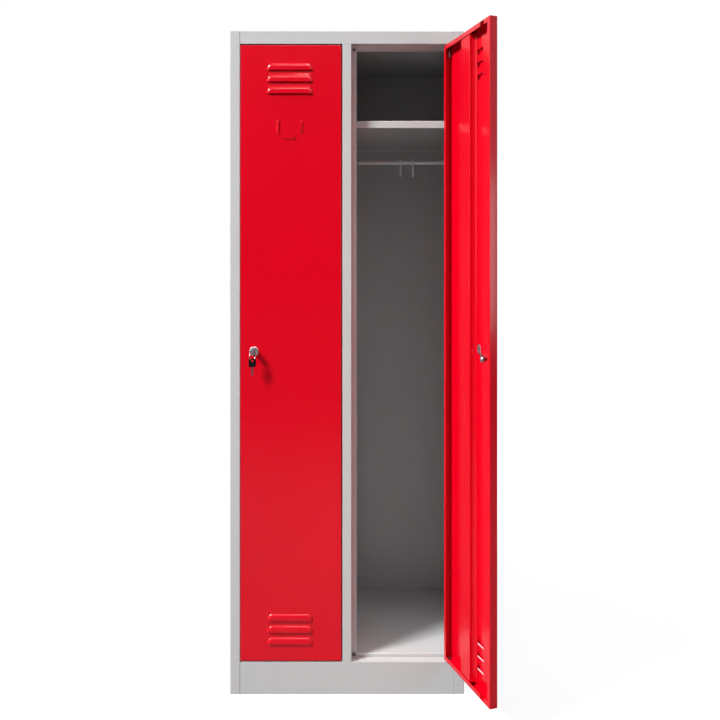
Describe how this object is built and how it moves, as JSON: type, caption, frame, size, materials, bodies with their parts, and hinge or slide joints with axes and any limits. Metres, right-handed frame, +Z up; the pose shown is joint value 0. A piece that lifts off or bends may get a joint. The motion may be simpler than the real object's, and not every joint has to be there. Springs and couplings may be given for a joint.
{
  "type": "school locker",
  "caption": "Steel clothes locker with louvred hinged doors and cam locks, a shelf and hanging rod in each compartment, one door standing open.",
  "frame": {"origin": "on the floor at mid-width of the cabinet, in the plane of the two door hinge axes, 7 mm behind the front face; it lies on the kick plate's floor flange", "axes": "+Z up, +X to the right of someone facing the doors, +Y from the doors to the back"},
  "size_m": [0.6946, 0.7478, 1.8],
  "materials": {
    "grey_coat": "satin light grey powder coat",
    "red_coat": "semi-gloss red powder coat",
    "zinc_steel": "bright zinc plate",
    "chrome_plate": "polished",
    "black_plastic": "fine matt",
    "rubber_grey": "matt"
  },
  "bodies": {
    "cabinet": {"side_panel_left": "grey_coat", "side_panel_right": "grey_coat", "roof_panel": "grey_coat", "back_panel": "grey_coat", "kick_plate": "grey_coat", "floor_panel": "grey_coat", "center_post": "grey_coat", "center_partition": "grey_coat", "shelf_left": "grey_coat", "shelf_right": "grey_coat", "hanging_rod_left": "zinc_steel", "hanging_rod_right": "zinc_steel", "rod_bracket_left_inner": "zinc_steel", "rod_bracket_left_outer": "zinc_steel", "rod_bracket_right_inner": "zinc_steel", "rod_bracket_right_outer": "zinc_steel", "door_buffer_left_top": "rubber_grey", "door_buffer_left_bottom": "rubber_grey", "door_buffer_right_top": "rubber_grey", "door_buffer_right_bottom": "rubber_grey"},
    "door_left": {"door_panel_left": "red_coat", "door_stiffener_left": "red_coat", "hinge_pin_left_top": "zinc_steel", "hinge_pin_left_bottom": "zinc_steel", "lock_body_left": "chrome_plate", "lock_nut_left": "zinc_steel"},
    "lock_core_left": {"lock_plug_left": "chrome_plate", "lock_cam_left": "zinc_steel", "cam_screw_left": "zinc_steel"},
    "door_right": {"door_panel_right": "red_coat", "door_stiffener_right": "red_coat", "hinge_pin_right_top": "zinc_steel", "hinge_pin_right_bottom": "zinc_steel", "lock_body_right": "chrome_plate", "lock_nut_right": "zinc_steel"},
    "lock_core_right": {"lock_plug_right": "chrome_plate", "lock_cam_right": "zinc_steel", "cam_screw_right": "zinc_steel"},
    "key": {"key_in_lock": "zinc_steel"},
    "key_ring_set": {"key_ring": "zinc_steel", "spare_key_grip": "black_plastic", "spare_key_blade": "zinc_steel"},
    "hook_left_1": {"coat_hook_left_1": "zinc_steel"},
    "hook_left_2": {"coat_hook_left_2": "zinc_steel"},
    "hook_right_1": {"coat_hook_right_1": "zinc_steel"},
    "hook_right_2": {"coat_hook_right_2": "zinc_steel"}
  },
  "joints": [
    {"name": "door_left_hinge", "type": "hinge", "parent": "cabinet", "child": "door_left", "pos_m": [-0.02325, 0, 0.9265], "axis": [0, 0, 1], "range_deg": [0, 110]},
    {"name": "door_right_hinge", "type": "hinge", "parent": "cabinet", "child": "door_right", "pos_m": [0.2795, 0, 0.9265], "axis": [0, 0, 1], "range_deg": [-110, 0]},
    {"name": "lock_left_turn", "type": "hinge", "parent": "door_left", "child": "lock_core_left", "pos_m": [-0.25225, -0.007, 0.931], "axis": [0, -1, 0], "range_deg": [0, 90]},
    {"name": "lock_right_turn", "type": "hinge", "parent": "door_right", "child": "lock_core_right", "pos_m": [0.3644, -0.2128, 0.931], "axis": [0.9397, 0.342, 0], "range_deg": [0, 90]},
    {"name": "key_withdraw", "type": "slide", "parent": "lock_core_left", "child": "key", "axis": [0, -1, 0], "range_m": [0, 0.03]},
    {"name": "key_ring_swing", "type": "hinge", "parent": "key", "child": "key_ring_set", "pos_m": [-0.25225, -0.034, 0.9296], "axis": [1, 0, 0], "range_deg": [-70, 20]},
    {"name": "hook_right_1_slide", "type": "slide", "parent": "cabinet", "child": "hook_right_1", "axis": [1, 0, 0], "range_m": [-0.115, 0.015]},
    {"name": "hook_right_2_slide", "type": "slide", "parent": "cabinet", "child": "hook_right_2", "axis": [1, 0, 0], "range_m": [-0.015, 0.1]},
    {"name": "hook_left_1_slide", "type": "slide", "parent": "cabinet", "child": "hook_left_1", "axis": [1, 0, 0], "range_m": [-0.015, 0.115]},
    {"name": "hook_left_2_slide", "type": "slide", "parent": "cabinet", "child": "hook_left_2", "axis": [1, 0, 0], "range_m": [-0.1, 0.015]}
  ]
}
